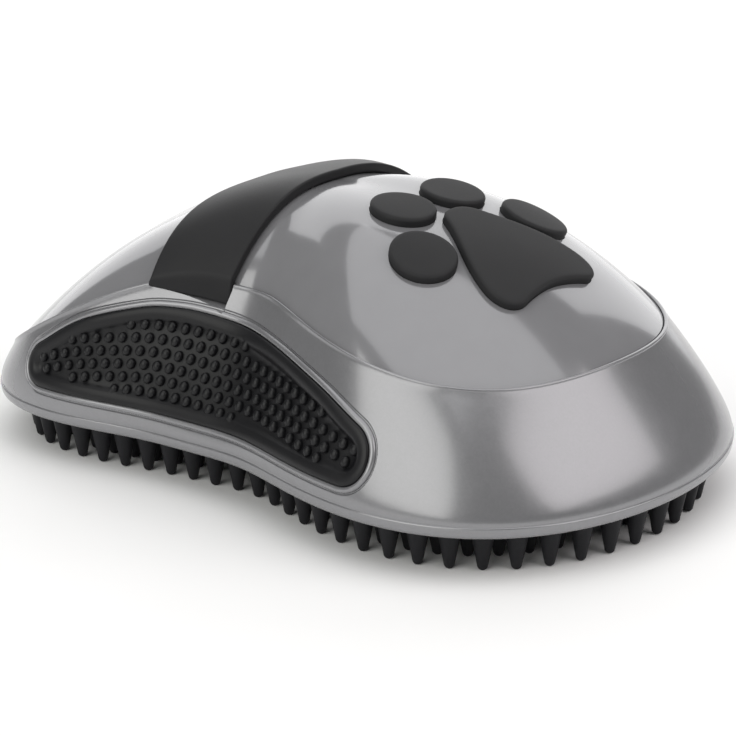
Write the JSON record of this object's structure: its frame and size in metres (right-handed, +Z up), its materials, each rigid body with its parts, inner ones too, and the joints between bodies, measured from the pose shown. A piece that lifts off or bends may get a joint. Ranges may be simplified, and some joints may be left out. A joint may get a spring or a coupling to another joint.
{
  "type": "rubber curry brush",
  "caption": "Palm-sized oval pet brush: waisted grey two-part body, black rubber palm strap and side grips, paw of rubber pads on the dome, and a rubber sole of short cone teeth.",
  "frame": {"origin": "centre of the brush's footprint, on the plane of the tooth tips that it stands on", "axes": "+X towards the wide nose with the heel pad, +Y to the left, +Z up out of the dome"},
  "size_m": [0.1308, 0.0836, 0.0471],
  "materials": {
    "pearl_plastic": "pearlescent silver grey, satin sheen",
    "gloss_plastic": "glossy mid grey",
    "strap_rubber": "smooth satin black",
    "grip_rubber": "satin black with fine nubs",
    "paw_rubber": "matte charcoal",
    "tooth_rubber": "matte black",
    "inner_plastic": "matte moulded",
    "screw_steel": "zinc plated"
  },
  "bodies": {
    "root": {"lower_shell": "pearl_plastic", "upper_shell": "gloss_plastic", "palm_strap": "strap_rubber", "strap_clamp_right": "inner_plastic", "strap_clamp_left": "inner_plastic", "side_grip_right": "grip_rubber", "side_grip_left": "grip_rubber", "toe_pad_outer_right": "paw_rubber", "toe_pad_inner_right": "paw_rubber", "toe_pad_inner_left": "paw_rubber", "toe_pad_outer_left": "paw_rubber", "heel_pad": "paw_rubber", "base_plate": "inner_plastic", "tooth_pad": "tooth_rubber", "case_screw_1": "screw_steel", "case_screw_2": "screw_steel", "case_screw_3": "screw_steel", "case_screw_4": "screw_steel", "clamp_screw_1": "screw_steel", "clamp_screw_2": "screw_steel", "clamp_screw_3": "screw_steel", "clamp_screw_4": "screw_steel"}
  },
  "joints": []
}
